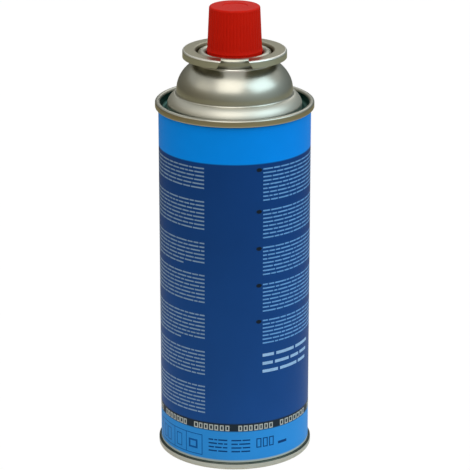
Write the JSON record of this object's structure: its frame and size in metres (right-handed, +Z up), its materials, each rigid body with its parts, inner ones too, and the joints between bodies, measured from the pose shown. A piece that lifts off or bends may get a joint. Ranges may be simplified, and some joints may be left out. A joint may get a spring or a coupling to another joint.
{
  "type": "fuel canister",
  "caption": "Sealed tinplate gas cartridge with a domed top, notched locking collar, crimped spring valve and a ribbed press-on cap.",
  "frame": {"origin": "middle of the foot ring, on the surface that the canister stands on", "axes": "+Z up the can's axis towards the cap; the collar's notch faces -Y and the welded side seam +Y"},
  "size_m": [0.0684, 0.0684, 0.1991],
  "materials": {
    "printed_tinplate": "gloss varnish over print",
    "plated_steel": "dull plated steel",
    "bare_tinplate": "bright tinplate",
    "spring_steel": "drawn wire",
    "white_plastic": "moulded",
    "black_rubber": "matt",
    "red_plastic": "satin moulded, ribbed side"
  },
  "bodies": {
    "canister": {"can": "printed_tinplate", "locking_collar": "plated_steel", "valve_cup": "bare_tinplate", "rim_gasket": "black_rubber", "valve_housing": "white_plastic", "stem_gasket": "black_rubber", "valve_spring": "spring_steel", "vapour_tube": "white_plastic"},
    "stem": {"valve_stem": "white_plastic"},
    "lid": {"cap": "red_plastic"}
  },
  "joints": [
    {"name": "cap_pull_off", "type": "slide", "parent": "canister", "child": "lid", "axis": [0, 0, 1], "range_m": [0, 0.025]},
    {"name": "valve_press", "type": "slide", "parent": "canister", "child": "stem", "axis": [0, 0, -1], "range_m": [0, 0.0035], "stiffness_N_per_m": 2500, "deforming": ["valve_spring"]}
  ]
}
